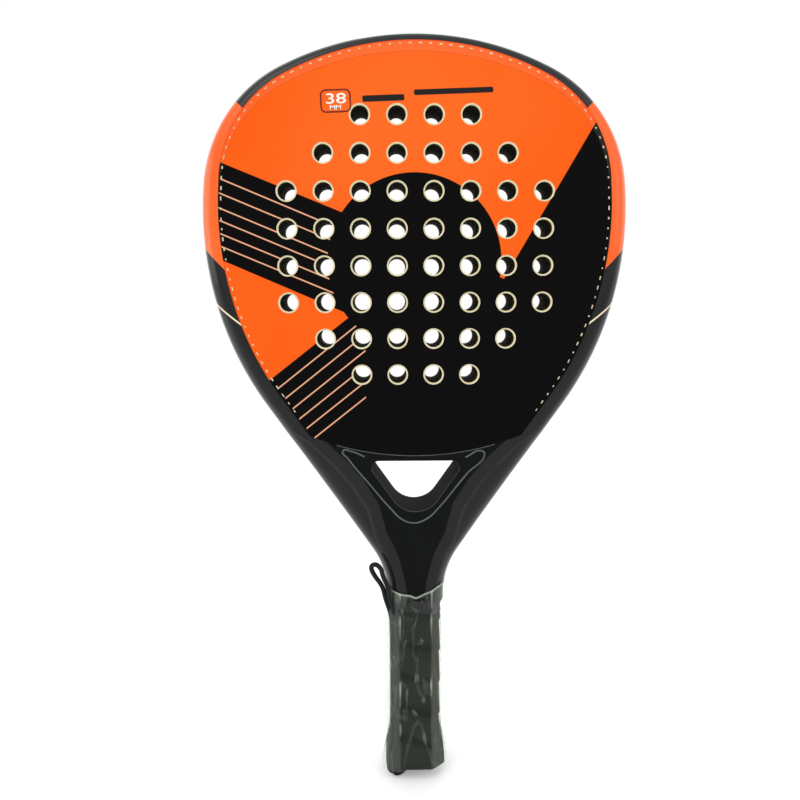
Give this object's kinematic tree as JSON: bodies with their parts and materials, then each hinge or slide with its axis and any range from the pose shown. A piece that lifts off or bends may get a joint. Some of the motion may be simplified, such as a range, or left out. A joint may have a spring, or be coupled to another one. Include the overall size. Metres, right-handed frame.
{
  "type": "padel racket",
  "caption": "Teardrop padel racket with a perforated foam-core face, open throat, taped octagonal handle, wrist cord and film-wrapped grip.",
  "frame": {"origin": "middle of the hand grip, on the racket's long axis and mid-plane", "axes": "+Z from the butt to the tip, +Y from the front hitting face to the back one, +X to the right seen from the front"},
  "size_m": [0.254, 0.0397, 0.4609],
  "materials": {
    "frame_lacquer": "clear lacquer over paint: black, grey and orange panels",
    "eva_foam": "closed-cell foam, matte, dark olive in the holes",
    "face_print": "satin lacquer over an orange and black print with thin lines",
    "raw_composite": "glass-fibre laminate, lacquered where it shows",
    "throat_lacquer": "gloss black lacquer with a raised rim",
    "handle_foam": "closed-cell foam",
    "handle_shell": "moulded polyurethane",
    "cap_plastic": "moulded, matte black",
    "grip_tape": "polyurethane tape, matte with a fine grain",
    "finishing_tape": "thin vinyl tape",
    "clear_film": "thin clear packaging film with creases",
    "cord": "braided polyester cord"
  },
  "bodies": {
    "root": {"frame_tube": "frame_lacquer", "face_core": "eva_foam", "front_face": "face_print", "back_face": "face_print", "throat_bridge": "raw_composite", "throat_core": "raw_composite", "throat_plate_front": "throat_lacquer", "throat_plate_back": "throat_lacquer", "handle_core": "handle_foam", "handle_pallet_front": "handle_shell", "handle_pallet_back": "handle_shell", "butt_cap": "cap_plastic", "base_grip": "grip_tape", "finishing_tape": "finishing_tape", "film_sleeve": "clear_film", "wrist_strap": "cord", "strap_knot": "cord"}
  },
  "joints": []
}
